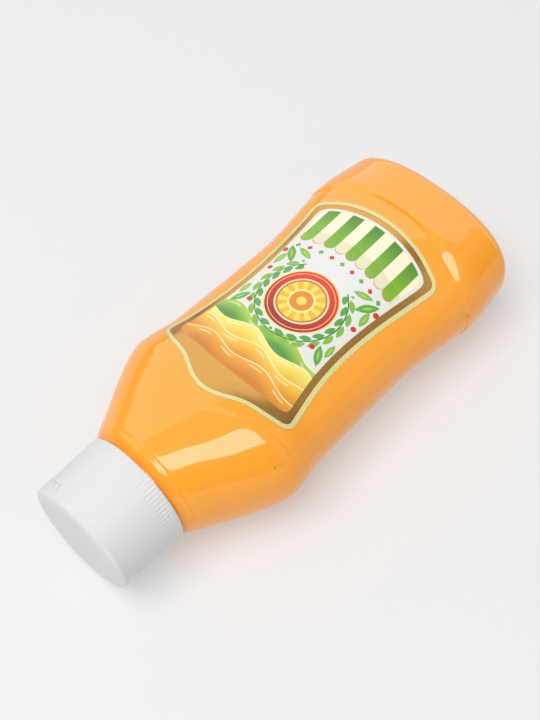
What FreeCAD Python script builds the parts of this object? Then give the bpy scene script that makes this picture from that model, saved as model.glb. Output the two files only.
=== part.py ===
import FreeCAD, Part
import math
import os

Vector = FreeCAD.Vector

# A squeeze bottle of cheese sauce that stands on its flip-top cap in use and here lies on its back.
# X runs along the bottle from the cap to the foot, Y across it, and Z up out of the front label.
# Every "station" is a distance from the closed end of the cap. Millimetres throughout.
total_length = 203.5
axis_height = 29.3                  # the long axis above the floor
fullness = 2.2                      # exponent of the oval sections, 2 is a true ellipse
section_points = 32                 # points that carry one oval section

# Stations of the bottle's outside: (station, half width, half depth, fullness of the oval).
shoulder_start = 31.7
outside = [
    (shoulder_start, 24.2, 24.2, 2.0),      # lip of the shoulder, just clear of the cap
    (33.4, 25.5, 25.4, 2.0),                # rounded ring at the top of the shoulder
    (36.0, 27.0, 26.7, 2.0),
    (41.0, 29.4, 27.7, 2.05),               # slope of the shoulder
    (50.0, 34.3, 28.6, fullness),
    (60.0, 39.6, 29.3, fullness),
    (67.0, 42.5, 29.7, fullness),
    (73.0, 43.6, 29.8, fullness),           # widest place of the shoulder
    (82.0, 43.1, 29.5, fullness),
    (100.0, 42.3, 28.6, fullness),
    (130.0, 41.6, 28.0, fullness),          # waist, where a hand holds it
    (152.0, 42.1, 28.1, fullness),
    (166.0, 43.5, 28.8, fullness),
    (174.0, 44.4, 29.5, fullness),          # widest place of the foot
    (181.0, 44.2, 29.42, fullness),
    (190.0, 42.9, 28.1, 2.25),
]
foot_half_width = 41.7              # where the rounding of the foot begins
foot_half_depth = 27.1
foot_rounding = 6.0
foot_fullness = 2.3
foot_rounding_steps = 5

# The waisted field for the labels is sunk below the outside.
recess_depth = 1.5
recess_at_shoulder = 0.45           # its depth where it runs out on the shoulder
recess_full_station = 90.0
recess_edge_at_foot = 172.2         # its sharp edge at the sides of the bottle
recess_arch = 7.2                   # rise of that edge at the middle of the front and back
recess_arch_exponent = 1.3
recess_edge_at_shoulder = 74.5
recess_lobe = 10.9                  # reach of the shoulder edge towards the cap
recess_lobe_half_width = 40.0
recess_reach = 54.0                 # the field's outline runs this far out, clear of the bottle
recess_outline_steps = 18
clear_of_bottle = 10.0              # how far cutting shapes stand out past what they cut

# Labels.
label_thickness = 0.3
label_lowest = 4.0                  # nothing of a label comes nearer than this to the long axis
label_top = 173.1                   # middle of the arched end, towards the foot
label_bottom = 66.8                 # tip of the lobe, towards the cap
label_top_edge = [(label_top, 0.0), (172.4, 10.0), (170.4, 20.0), (167.2, 29.2)]
label_top_corner = (165.5, 31.4)
label_side = [(162.4, 32.4), (140.0, 29.4), (118.0, 28.2), (100.0, 29.5), (82.6, 33.2)]
label_bottom_corner = (79.4, 32.7)
label_bottom_edge = [(77.6, 30.8), (75.5, 25.0), (72.9, 16.0), (69.0, 8.5), (label_bottom, 0.0)]
back_label_top = 163.0
back_label_bottom = 86.0
back_label_half_width = 27.0
back_label_corner = 5.0

# Neck and cap.
neck_radius = 23.3
neck_inside_cap = 2.0
cap_rim_station = 30.5
cap_rim_radius = 24.5
cap_lid_radius = 24.1
lid_parting = 2.4                   # station of the line between the lid and the cap
rib_band = 7.8                      # length of the gripping ribs
rib_depth = 0.25
rib_count = 90
cap_turn = -25.0                    # how far the thumb tab is turned from the bottle's side, degrees
clear_of_cap = 3.0                  # how far cutting shapes stand out past the cap

# Thumb notch under the lid's tab.
notch_start = 9.5
notch_roll_end = 5.5
notch_radius = 21.85                # its flat, from the long axis
notch_half_width = 13.0
notch_edge = 0.1                    # small step where the notch leaves the wall
tab_station = 4.6                   # lowest edge of the tab, where it meets the notch's flat
tab_half_width = 9.6
tab_clearance = 0.05
tab_lip_radius = 22.3               # where the tab's rounded outside ends
tab_bulge = (3.75, 23.42)           # a point half way round it
lid_rounding = 1.8
lid_dome = 0.5

# Hinge on the far side of the lid.
hinge_half_angle = 36.0
hinge_skirt_station = 6.8
hinge_wall = 1.7
hinge_clearance = 0.25
bay_half_angle = 36.6
slot_half_angle = 28.5
slot_width = 0.9
slot_from = 4.5
slot_to = 9.4
slot_depth = 1.4

middle = total_length / 2.0


def at(station, y, z):
    """A point given by its station and its place about the long axis."""
    return Vector(station - middle, y, axis_height + z)


def oval(station, half_width, half_depth, exponent):
    """One closed section across the bottle."""
    points = []
    for i in range(section_points):
        angle = 2.0 * math.pi * i / section_points
        across = math.copysign(abs(math.cos(angle)) ** (2.0 / exponent), math.cos(angle))
        up = math.copysign(abs(math.sin(angle)) ** (2.0 / exponent), math.sin(angle))
        points.append(at(station, half_width * across, half_depth * up))
    parameters = [i / section_points for i in range(section_points + 1)]
    curve = Part.BSplineCurve()
    curve.interpolate(Points=points, PeriodicFlag=True, Parameters=parameters)
    return Part.Wire([curve.toShape()])


def sunk(station):
    """Depth of the label field below the outside."""
    run = recess_full_station - recess_edge_at_shoulder
    share = (station - recess_edge_at_shoulder) / run
    share = max(0.0, min(1.0, share))
    smooth = share * share * (3.0 - 2.0 * share)
    return recess_at_shoulder + (recess_depth - recess_at_shoulder) * smooth


def bottle_skin(inset):
    """The whole bottle's form, with inset(station) taken off all round."""
    sections = []
    for station, half_width, half_depth, exponent in outside:
        less = inset(station)
        sections.append(oval(station, half_width - less, half_depth - less, exponent))
    for i in range(foot_rounding_steps + 1):
        angle = 0.5 * math.pi * i / foot_rounding_steps
        station = total_length - foot_rounding * (1.0 - math.sin(angle))
        less = foot_rounding * (1.0 - math.cos(angle)) + inset(station)
        sections.append(oval(station, foot_half_width - less, foot_half_depth - less, foot_fullness))
    return Part.makeLoft(sections, True, False)


def flat_curve(points):
    """A smooth curve through (station, y) points, lying on the floor plane."""
    curve = Part.BSplineCurve()
    curve.interpolate([Vector(station - middle, y, 0.0) for station, y in points])
    return curve.toShape()


def upright(edges, z_from, z_to):
    """A straight prism over a closed outline of edges on the floor plane."""
    face = Part.Face(Part.Wire(Part.__sortEdges__(edges)))
    face.translate(Vector(0.0, 0.0, z_from))
    return face.extrude(Vector(0.0, 0.0, z_to - z_from))


def foot_edge(y):
    """Station of the recess's edge at the foot, an arch over the front and the back."""
    share = min(1.0, abs(y) / foot_half_width)
    return recess_edge_at_foot + recess_arch * math.cos(0.5 * math.pi * share) ** recess_arch_exponent


def shoulder_edge(y):
    """Station of the recess's edge on the shoulder, with its lobe towards the cap."""
    share = min(1.0, abs(y) / recess_lobe_half_width)
    return recess_edge_at_shoulder - recess_lobe * math.cos(0.5 * math.pi * share) ** 2


def recess_band():
    """The stretch of the bottle that the sunk field takes up, full height."""
    steps = recess_outline_steps
    across = [recess_reach * (2.0 * i / steps - 1.0) for i in range(steps + 1)]
    at_foot = [(foot_edge(y), y) for y in across]
    at_shoulder = [(shoulder_edge(y), y) for y in across]
    sides = []
    for end in (0, -1):
        start = Vector(at_shoulder[end][0] - middle, at_shoulder[end][1], 0.0)
        stop = Vector(at_foot[end][0] - middle, at_foot[end][1], 0.0)
        sides.append(Part.LineSegment(start, stop).toShape())
    edges = [flat_curve(at_foot), flat_curve(at_shoulder)] + sides
    return upright(edges, -clear_of_bottle, 2.0 * axis_height + clear_of_bottle)


def ring_of(radius, start, stop, end_radius=None):
    """A round solid on the long axis, straight or tapered."""
    base = at(start, 0.0, 0.0)
    along = Vector(1.0, 0.0, 0.0)
    if end_radius is None:
        return Part.makeCylinder(radius, stop - start, base, along)
    return Part.makeCone(radius, end_radius, stop - start, base, along)


def make_bottle():
    """The oval bottle, filled to its wall, with the sunk label field and two small resting flats."""
    outer = bottle_skin(lambda station: 0.0)
    inner = bottle_skin(sunk)
    body = outer.cut(recess_band().cut(inner))
    neck = ring_of(neck_radius, cap_rim_station - neck_inside_cap, shoulder_start + 1.0)
    body = body.fuse(neck)
    length = total_length + 2.0 * clear_of_bottle
    width = 2.0 * recess_reach
    corner = Vector(-0.5 * length, -0.5 * width, -clear_of_bottle)
    return body.cut(Part.makeBox(length, width, clear_of_bottle, corner))


def label_arc(start, through, stop, side):
    """An arc that rounds a corner of the label, on the +Y or the -Y side."""
    points = [Vector(station - middle, side * y, 0.0) for station, y in (start, through, stop)]
    return Part.Arc(*points).toShape()


def front_outline():
    """The front label's outline: arched top, waisted sides and a lobed bottom edge."""
    edges = [flat_curve([(s, -y) for s, y in reversed(label_top_edge)] + label_top_edge[1:]),
             flat_curve(label_bottom_edge + [(s, -y) for s, y in reversed(label_bottom_edge[:-1])])]
    for side in (1.0, -1.0):
        edges.append(flat_curve([(s, side * y) for s, y in label_side]))
        edges.append(label_arc(label_top_edge[-1], label_top_corner, label_side[0], side))
        edges.append(label_arc(label_side[-1], label_bottom_corner, label_bottom_edge[0], side))
    return edges


def make_front_label(skin, field):
    """The thin front label, lying in the sunk field."""
    prism = upright(front_outline(), axis_height + label_lowest, 2.0 * axis_height + label_lowest)
    return skin.common(prism).cut(field)


def make_back_label(skin, field):
    """The plain back label, a rounded rectangle clear of the resting flats."""
    width = 2.0 * back_label_half_width
    length = back_label_top - back_label_bottom
    corner = Vector(back_label_bottom - middle, -back_label_half_width, -5.0)
    block = Part.makeBox(length, width, axis_height, corner)
    uprights = [e for e in block.Edges if abs(e.Length - axis_height) < 0.01]
    uprights = [e for e in uprights if abs(e.tangentAt(e.FirstParameter).z) > 0.99]
    block = block.makeFillet(back_label_corner, uprights)
    return skin.common(block).cut(field)


def turned(shape, degrees):
    """A copy turned about the long axis, from the side of the bottle (-Y) towards its front."""
    copy = shape.copy()
    copy.rotate(at(0.0, 0.0, 0.0), Vector(1.0, 0.0, 0.0), -degrees)
    return copy


def turned_profile(edges, degrees):
    """Revolve a closed (station, radius) outline about the long axis, centred on the side (-Y)."""
    face = Part.Face(Part.Wire(Part.__sortEdges__(edges)))
    face.rotate(at(0.0, 0.0, 0.0), Vector(1.0, 0.0, 0.0), -0.5 * degrees)
    return face.revolve(at(0.0, 0.0, 0.0), Vector(1.0, 0.0, 0.0), degrees)


def profile_line(start, stop):
    """A straight edge between two (station, radius) points on the -Y side."""
    return Part.LineSegment(at(start[0], -start[1], 0.0), at(stop[0], -stop[1], 0.0)).toShape()


def profile_arc(start, through, stop):
    """An arc through three (station, radius) points on the -Y side."""
    points = [at(station, -radius, 0.0) for station, radius in (start, through, stop)]
    return Part.Arc(*points).toShape()


def ribbed_band():
    """The gripping ribs next to the bottle, as one many-sided prism."""
    points = []
    for i in range(2 * rib_count):
        angle = math.pi * i / rib_count
        radius = cap_rim_radius if i % 2 == 0 else cap_rim_radius - rib_depth
        points.append(at(cap_rim_station - rib_band, radius * math.cos(angle), radius * math.sin(angle)))
    points.append(points[0])
    face = Part.Face(Part.makePolygon(points))
    return face.extrude(Vector(rib_band, 0.0, 0.0))


def notch_cutter():
    """What the thumb notch takes off the cap's wall: a flat under the tab that rolls over to the wall."""
    wall = cap_lid_radius - notch_edge
    outside_all = cap_rim_radius + clear_of_cap
    fall = wall - notch_radius
    run = notch_start - notch_roll_end
    roll = (run ** 2 + fall ** 2) / (2.0 * fall)
    half_turn = 0.5 * math.asin(run / roll)
    roll_middle = (notch_start - roll * math.sin(half_turn), wall - roll * (1.0 - math.cos(half_turn)))
    corners = [(notch_roll_end, notch_radius), (lid_parting, notch_radius), (lid_parting, outside_all),
               (notch_start, outside_all), (notch_start, wall)]
    edges = [profile_arc((notch_start, wall), roll_middle, (notch_roll_end, notch_radius))]
    for start, stop in zip(corners, corners[1:]):
        edges.append(profile_line(start, stop))
    face = Part.Face(Part.Wire(Part.__sortEdges__(edges)))
    face.translate(Vector(0.0, 0.0, -notch_half_width))
    return turned(face.extrude(Vector(0.0, 0.0, 2.0 * notch_half_width)), cap_turn)


def wall_sector(inner, outer, start, stop, half_angle, turn):
    """A piece of the cap's round wall, centred on a turn about the long axis."""
    ring = ring_of(outer, start, stop).cut(ring_of(inner, start - 1.0, stop + 1.0))
    reach = 2.0 * outer
    edge_y = -reach * math.cos(math.radians(half_angle))
    edge_z = reach * math.sin(math.radians(half_angle))
    wedge = Part.Face(Part.makePolygon([at(start - 1.0, 0.0, 0.0), at(start - 1.0, edge_y, edge_z),
                                        at(start - 1.0, -2.0 * reach, 0.0),
                                        at(start - 1.0, edge_y, -edge_z), at(start - 1.0, 0.0, 0.0)]))
    wedge = wedge.extrude(Vector(stop - start + 2.0, 0.0, 0.0))
    return turned(ring.common(wedge), turn)


def hinge_slots():
    """The two short slots beside the hinge."""
    slots = []
    for side in (-1.0, 1.0):
        block = Part.makeBox(slot_to - slot_from, slot_depth + clear_of_cap, slot_width,
                             at(slot_from, -cap_lid_radius - clear_of_cap, -slot_width / 2.0))
        slots.append(turned(block, cap_turn + 180.0 + side * slot_half_angle))
    return slots


def make_cap():
    """The cap below its lid: tapered wall, ribbed rim, thumb notch and the bay for the hinge."""
    rib_start = cap_rim_station - rib_band
    cap = ring_of(cap_lid_radius, lid_parting, rib_start, cap_rim_radius - rib_depth)
    cap = cap.fuse(ribbed_band())
    cap = cap.cut(ring_of(neck_radius, cap_rim_station - neck_inside_cap, cap_rim_station + 1.0))
    cap = cap.cut(notch_cutter())
    bay = wall_sector(cap_lid_radius - hinge_wall - hinge_clearance, cap_lid_radius + clear_of_cap, 0.0,
                      hinge_skirt_station + hinge_clearance, bay_half_angle, cap_turn + 180.0)
    cap = cap.cut(bay)
    for slot in hinge_slots():
        cap = cap.cut(slot)
    return cap


def lid_disc():
    """The low disc of the lid: a slightly domed face with a rounded rim."""
    outer = cap_lid_radius
    flat = outer - lid_rounding
    slant = math.sqrt(0.5)
    rim_station = lid_dome + lid_rounding
    back = lid_parting
    centre = (0.0, 0.0)
    shallow = (lid_dome * 0.25, flat * 0.5)
    face_edge = (lid_dome, flat)
    rim_middle = (lid_dome + lid_rounding * (1.0 - slant), flat + lid_rounding * slant)
    rim_end = (rim_station, outer)
    edges = [profile_arc(centre, shallow, face_edge), profile_arc(face_edge, rim_middle, rim_end),
             profile_line(rim_end, (back, outer)), profile_line((back, outer), (back, 0.0)),
             profile_line((back, 0.0), centre)]
    return turned_profile(edges, 360.0)


def lid_tab():
    """The thumb tab, a thicker stretch of the lid's rim with a rounded outside and a flat back."""
    outer = cap_lid_radius
    start = lid_parting
    core = tab_half_width
    edges = [profile_line((start, core), (start, outer)),
             profile_arc((start, outer), tab_bulge, (tab_station, tab_lip_radius)),
             profile_line((tab_station, tab_lip_radius), (tab_station, core)),
             profile_line((tab_station, core), (start, core))]
    half_angle = math.degrees(math.asin(tab_half_width / outer))
    ring = turned_profile(edges, 2.0 * half_angle)
    front = Part.makeBox(tab_station, outer, 2.0 * outer, at(0.0, -outer - notch_radius - tab_clearance, -outer))
    return turned(ring.common(front), cap_turn)


def make_lid():
    """The flip lid, shut: a low disc with a thumb tab and, opposite, the skirt of its hinge."""
    lid = lid_disc().fuse(lid_tab())
    skirt = wall_sector(cap_lid_radius - hinge_wall, cap_lid_radius, lid_dome + lid_rounding,
                        hinge_skirt_station, hinge_half_angle, cap_turn + 180.0)
    lid = lid.fuse(skirt)
    for slot in hinge_slots():
        lid = lid.cut(slot)
    return lid


def save(shape, node):
    """Write one solid to its own file."""
    solid = shape.removeSplitter()
    solids = solid.Solids
    print(node, "solids", len(solids), "valid", solid.isValid(), "volume", round(solid.Volume, 1))
    box = solid.BoundBox
    print("   x %.2f %.2f  y %.2f %.2f  z %.2f %.2f" % (
        box.XMin, box.XMax, box.YMin, box.YMax, box.ZMin, box.ZMax))
    solids[0].exportStep("parts/%s.step" % node)


os.makedirs("parts", exist_ok=True)
sunk_field = bottle_skin(sunk)
label_skin = bottle_skin(lambda station: sunk(station) - label_thickness)
save(make_bottle(), "bottle")
save(make_cap(), "cap")
save(make_lid(), "lid")
save(make_front_label(label_skin, sunk_field), "label_front")
save(make_back_label(label_skin, sunk_field), "label_back")
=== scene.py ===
import bisect
import math

import bmesh
import bpy
import numpy as np
from mathutils import Matrix, Vector
from mathutils.kdtree import KDTree


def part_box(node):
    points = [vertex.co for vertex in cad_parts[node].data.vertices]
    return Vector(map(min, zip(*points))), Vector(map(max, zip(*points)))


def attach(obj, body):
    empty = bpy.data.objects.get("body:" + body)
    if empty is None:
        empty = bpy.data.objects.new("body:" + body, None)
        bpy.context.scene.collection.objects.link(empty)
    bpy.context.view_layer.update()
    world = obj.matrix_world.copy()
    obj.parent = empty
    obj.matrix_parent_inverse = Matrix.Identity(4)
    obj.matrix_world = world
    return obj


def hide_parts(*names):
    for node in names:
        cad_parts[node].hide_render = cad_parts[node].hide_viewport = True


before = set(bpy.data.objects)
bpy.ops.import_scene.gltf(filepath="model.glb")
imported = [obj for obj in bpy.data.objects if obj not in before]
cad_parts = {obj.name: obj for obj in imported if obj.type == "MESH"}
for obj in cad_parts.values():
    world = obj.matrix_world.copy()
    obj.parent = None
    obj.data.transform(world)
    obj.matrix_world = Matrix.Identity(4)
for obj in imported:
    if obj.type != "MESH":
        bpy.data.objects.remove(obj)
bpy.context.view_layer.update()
print("frame loaded")

# The frame is in metres. Everything below is in millimetres: "station" is the distance from the
# closed end of the cap along the bottle, "across" runs over its width, "up" is above its long axis.
mm = 0.001
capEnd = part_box("lid")[0].x
axisHeight = (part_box("cap")[0].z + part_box("cap")[1].z) / 2


def place(station, across, up):
    return Vector((capEnd + station * mm, across * mm, axisHeight + up * mm))


def stationOf(co):
    return (co.x - capEnd) / mm


# Camera.
viewpoint = {
    "position": (-0.184846, -0.201397, 0.468086),
    "aim": (-0.010677, -0.012738, 0.062482),
    "roll": -4.10,  # degrees
    "lens": 65.0,  # mm
    "sensor": 36.0,
}


def addCamera():
    position, aim = Vector(viewpoint["position"]), Vector(viewpoint["aim"])
    data = bpy.data.cameras.new("camera")
    data.lens = viewpoint["lens"]
    data.sensor_width = viewpoint["sensor"]
    data.clip_start, data.clip_end = 0.01, 50.0
    camera = bpy.data.objects.new("camera", data)
    turn = (aim - position).to_track_quat("-Z", "Y").to_matrix().to_4x4()
    roll = Matrix.Rotation(math.radians(viewpoint["roll"]), 4, "Z")
    camera.matrix_world = Matrix.Translation(position) @ turn @ roll
    bpy.context.scene.collection.objects.link(camera)
    bpy.context.scene.camera = camera


addCamera()
print("camera placed")


# Shader maths: a Value wraps one socket, so an expression on values adds the Math nodes it needs.
class Value:
    def __init__(self, board, socket):
        self.board = board
        self.socket = socket

    def calc(self, operation, *terms, clamp=False):
        settings = {"operation": operation, "use_clamp": clamp}
        return self.board.add("ShaderNodeMath", settings, dict(enumerate(terms)))

    def __add__(self, other):
        return self.calc("ADD", self, other)

    def __radd__(self, other):
        return self.calc("ADD", other, self)

    def __sub__(self, other):
        return self.calc("SUBTRACT", self, other)

    def __rsub__(self, other):
        return self.calc("SUBTRACT", other, self)

    def __mul__(self, other):
        return self.calc("MULTIPLY", self, other)

    def __rmul__(self, other):
        return self.calc("MULTIPLY", other, self)

    def __truediv__(self, other):
        return self.calc("DIVIDE", self, other)

    def __rtruediv__(self, other):
        return self.calc("DIVIDE", other, self)

    def __neg__(self):
        return self.calc("MULTIPLY", self, -1.0)

    def __abs__(self):
        return self.calc("ABSOLUTE", self)

    def sin(self):
        return self.calc("SINE", self)

    def cos(self):
        return self.calc("COSINE", self)

    def root(self):
        return self.calc("SQRT", self.most(0.0))

    def fraction(self):
        return self.calc("FRACT", self)

    def least(self, other, soft=0.0):
        return self.calc("SMOOTH_MIN", self, other, soft) if soft else self.calc("MINIMUM", self, other)

    def most(self, other):
        return self.calc("MAXIMUM", self, other)

    def inside(self, soft=0.12):
        # 1 where the value is below zero, with an edge as soft as the print's
        return self.calc("MULTIPLY_ADD", self, -1.0 / soft, 0.5, clamp=True)

    def between(self, low, high):
        # 0 at low, 1 at high, straight in between
        return self.calc("MULTIPLY_ADD", self, 1.0 / (high - low), -low / (high - low), clamp=True)


class Board:
    # A node tree that nodes are put on.
    def __init__(self, tree):
        self.nodes = tree.nodes
        self.links = tree.links

    def put(self, socket, value):
        if isinstance(value, Value):
            self.links.new(value.socket, socket)
        else:
            socket.default_value = value

    def add(self, kind, settings, sockets, output=0):
        # Any node: its type, its settings, then the values or links of its sockets.
        node = self.nodes.new(kind)
        for name, value in settings.items():
            setattr(node, name, value)
        for name, value in sockets.items():
            self.put(node.inputs[name], value)
        return Value(self, node.outputs[output])

    def axes(self, vector):
        node = self.nodes.new("ShaderNodeSeparateXYZ")
        self.put(node.inputs[0], vector)
        return [Value(self, output) for output in node.outputs]

    def dot(self, vector, direction):
        # how far a vector reaches along a direction
        sockets = {0: vector, 1: direction}
        return self.add("ShaderNodeVectorMath", {"operation": "DOT_PRODUCT"}, sockets, "Value")

    def noise(self, spot, scale, detail=2.0):
        return self.add("ShaderNodeTexNoise", {}, {"Vector": spot, "Scale": scale, "Detail": detail}, "Fac")

    def mix(self, share, first, second):
        return self.add("ShaderNodeMix", {"data_type": "RGBA"}, {0: share, 6: first, 7: second}, 2)


class Finish(Board):
    # A material under construction.
    def __init__(self, name):
        self.material = bpy.data.materials.new(name)
        self.material.use_nodes = True
        super().__init__(self.material.node_tree)
        self.shader = self.nodes["Principled BSDF"]

    def surface(self, **values):
        # base_color goes to "Base Color" and so on
        for name, value in values.items():
            self.put(self.shader.inputs[name.replace("_", " ").title().replace("Ior", "IOR")], value)

    def spot(self):
        return self.add("ShaderNodeTexCoord", {}, {}, "Object")

    def places(self):
        # station, across and up, in mm, over the piece
        x, y, z = self.axes(self.spot())
        return (x - capEnd) / mm, y / mm, (z - axisHeight) / mm

    def attribute(self, name):
        return self.add("ShaderNodeAttribute", {"attribute_name": name}, {}, "Fac")

    def bump(self, height):
        # height in mm
        sockets = {"Height": height * mm, "Distance": 1.0, "Strength": 1.0}
        return self.add("ShaderNodeBump", {}, sockets, "Normal")

    def paint(self, base, shape, colour, soft=0.12):
        # a colour laid over the base where the shape's value is below zero
        return self.mix(shape.inside(soft), base, colour)


def rgb(red, green, blue):
    # a colour given as it looks on a screen, 0 to 255
    def linear(level):
        share = level / 255
        return share / 12.92 if share <= 0.04045 else ((share + 0.055) / 1.055) ** 2.4
    return (linear(red), linear(green), linear(blue), 1.0)


# Curves through a few points.
def smoothCurve(places, values):
    # Natural cubic through the values at these places, run on straight past both ends.
    x, y = [float(place) for place in places], [float(value) for value in values]
    count = len(x)
    gap = [b - a for a, b in zip(x, x[1:])]
    rise = [(b - a) / h for a, b, h in zip(y, y[1:], gap)]
    system, right = np.eye(count), np.zeros(count)
    for i in range(1, count - 1):
        system[i, i - 1], system[i, i], system[i, i + 1] = gap[i - 1], 2 * (gap[i - 1] + gap[i]), gap[i]
        right[i] = 6 * (rise[i] - rise[i - 1])
    bend = np.linalg.solve(system, right).tolist()
    before = rise[0] - gap[0] * bend[1] / 6
    after = rise[-1] + gap[-1] * bend[-2] / 6

    def valueAt(spot):
        if spot <= x[0]:
            return y[0] + (spot - x[0]) * before
        if spot >= x[-1]:
            return y[-1] + (spot - x[-1]) * after
        i = bisect.bisect_right(x, spot) - 1
        a, b, h = x[i + 1] - spot, spot - x[i], gap[i]
        return ((bend[i] * a ** 3 + bend[i + 1] * b ** 3) / (6 * h)
                + (y[i] / h - bend[i] * h / 6) * a + (y[i + 1] / h - bend[i + 1] * h / 6) * b)
    return valueAt


def smoothStep(value):
    share = min(max(value, 0.0), 1.0)
    return share * share * (3 - 2 * share)


def eased(value, low, high):
    # 0 up to low and 1 from high, eased in between
    return smoothStep((value - low) / (high - low))


def hill(value, low, flatLow, flatHigh, high):
    # 0 up to low, 1 between the flat ends, 0 again from high
    return eased(value, low, flatLow) * (1 - eased(value, flatHigh, high))


def easedRamp(run, width, early, late):
    # 0 to 1 over a width, its slope easing in over "early" and out over "late"
    run = min(max(run, 0.0), width)
    area = run * run / (2 * early) if run < early else run - early / 2
    left = width - run
    if left < late:
        area -= (late - left) ** 2 / (2 * late)
    return area / (width - (early + late) / 2)


weldDistance = 1e-7  # m


def finished(bm, name, finish, node, sharpAngle=None):
    # Closes a piece: welded, faces outwards, smooth, riding on the part in place of its CAD node.
    bmesh.ops.remove_doubles(bm, verts=bm.verts, dist=weldDistance)
    bmesh.ops.recalc_face_normals(bm, faces=bm.faces)
    for face in bm.faces:
        face.smooth = True
    mesh = bpy.data.meshes.new(name)
    bm.to_mesh(mesh)
    bm.free()
    if sharpAngle:
        mesh.set_sharp_from_angle(angle=math.radians(sharpAngle))
    piece = bpy.data.objects.new(name, mesh)
    bpy.context.scene.collection.objects.link(piece)
    mesh.materials.append(finish)
    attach(piece, "root")
    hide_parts(node)
    print(name, "made,", len(mesh.polygons), "faces")
    return piece


# Bottle.
bottle = {
    "segments": 320,  # round the bottle
    "sections": [  # station, half width, half depth, fullness of the oval
        (31.7, 24.2, 24.2, 2.0),
        (33.4, 25.5, 25.4, 2.0),
        (36.0, 27.0, 26.7, 2.0),
        (41.0, 29.4, 27.7, 2.05),
        (50.0, 34.3, 28.6, 2.2),
        (60.0, 39.6, 29.3, 2.2),
        (67.0, 42.5, 29.7, 2.2),
        (73.0, 43.6, 29.8, 2.2),
        (82.0, 43.1, 29.5, 2.2),
        (100.0, 42.3, 28.6, 2.2),
        (130.0, 41.6, 28.0, 2.2),
        (152.0, 42.1, 28.1, 2.2),
        (166.0, 43.5, 28.8, 2.2),
        (174.0, 44.1, 29.5, 2.2),
        (181.0, 44.1, 29.4, 2.2),
        (190.0, 42.9, 28.1, 2.25),
        (197.5, 41.7, 27.1, 2.3),
    ],
    "footRounding": 6.0,
    "footRings": 14,  # round the rounding
    "neckRadius": 23.3,
    "neckStations": (28.5, 29.5, 30.6, 31.2),  # the neck starts inside the cap
    "neckCrease": (35.7, 1.2, 0.26),  # station, half length and depth of the crease below the ring
    # label field
    "recess": 1.5,  # how far it is sunk
    "recessAtShoulder": 0.45,
    "recessFull": 90.0,  # station where it reaches its depth
    "edgeAtFoot": 172.2,
    "footArch": 7.2,
    "footArchPower": 1.3,
    "footArchHalfWidth": 41.7,
    "footStepWidth": 0.8,  # the step up to the foot is narrow in the middle and at the sides
    "footStepSwell": 3.9,  # and this much wider between them
    "footStepSwellSpan": (6.0, 25.0, 30.0, 37.5),  # across: where the swell starts, is full and ends
    "footStepEase": 0.5,
    "footStepRound": 0.45,  # share of the step that rounds over at its top
    "sideShare": 0.6,  # how much shallower the field is beside the foot, at the bottle's sides
    "sideAcross": (28.0, 39.0),
    "sideAlong": (138.0, 168.0),
    "edgeAtShoulder": 74.5,
    "shoulderLobe": 10.9,
    "lobeHalfWidth": 40.0,
    "shoulderRoll": 4.2,  # length of the soft roll down into the field
    "shoulderEase": 0.45,
    # hollow of the foot's end: its depth, and how it eases in from the rim, as shares of the radius
    "dish": 0.9,
    "dishRim": 0.93,
    "dishEase": 0.3,
    "endRings": (0.975, 0.94, 0.9, 0.85, 0.8, 0.7, 0.5, 0.25, 0.0),
    # rows along the bottle: from, to, spacing
    "rows": [(31.7, 38.5, 0.34), (38.5, 60, 1.4), (60, 69.5, 0.9), (69.5, 73.8, 0.45), (73.8, 75.0, 0.15),
             (75.0, 82, 0.9), (82, 160, 2.4), (160, 170.6, 1.1), (170.6, 172.0, 0.28), (172.0, 173.4, 0.14),
             (173.4, 178.0, 0.35), (178.0, 197.5, 1.3)],
    # rows bend along the field's edges: where they start to, follow them fully, and are straight again
    "bendToFoot": (138.0, 168.5, 178.5, 197.0),
    "bendToShoulder": (44.0, 69.0, 78.0, 102.0),
    # plastic
    "colours": ((1.0, 0.370, 0.028, 1), (1.0, 0.394, 0.035, 1)),
    "gateMark": (172.0, -43.92, 4.04),  # a small dimple beside the foot, where the mould was filled
    "gateMarkRadius": 0.9,
    "gateMarkColour": (0.80, 0.24, 0.02, 1),
    "specks": [(66.5, -37.87, 14.8), (74.5, -27.49, 24.2)],
    "speckRadius": 0.3,
    "speckColour": (0.55, 0.16, 0.01, 1),
    "underCap": (31.5, 34.0),  # where the cap's shade on the shoulder ring fades
    "underCapColour": (0.80, 0.24, 0.012, 1),
    "seamHalfWidth": 0.4,  # where the halves of the mould meet
    "heights": {"ripple": 0.045, "grain": 0.006, "seam": 0.015, "gateMark": -0.35},
}
bottle["length"] = (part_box("bottle")[1].x - capEnd) / mm
sectionStations = [row[0] for row in bottle["sections"]]
halfWidthAt, halfDepthAt, fullnessAt = (
    smoothCurve(sectionStations, [row[i] for row in bottle["sections"]]) for i in (1, 2, 3))


def footArch(across):
    share = min(1.0, abs(across) / bottle["footArchHalfWidth"])
    return bottle["footArch"] * math.cos(math.pi / 2 * share) ** bottle["footArchPower"]


def footStepWidth(across):
    swell = hill(abs(across), *bottle["footStepSwellSpan"])
    return bottle["footStepWidth"] + bottle["footStepSwell"] * swell


def shoulderLobe(across):
    share = min(1.0, abs(across) / bottle["lobeHalfWidth"])
    return bottle["shoulderLobe"] * math.cos(math.pi / 2 * share) ** 2


def sunkDepth(station):
    # depth of the label field, shallow on the shoulder
    share = eased(station, bottle["edgeAtShoulder"], bottle["recessFull"])
    return bottle["recessAtShoulder"] + (bottle["recess"] - bottle["recessAtShoulder"]) * share


def besideShare(station, across):
    # the field gets shallower at the bottle's sides towards the foot
    share = bottle["sideShare"] * eased(abs(across), *bottle["sideAcross"])
    return share * eased(station, *bottle["sideAlong"])


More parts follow.
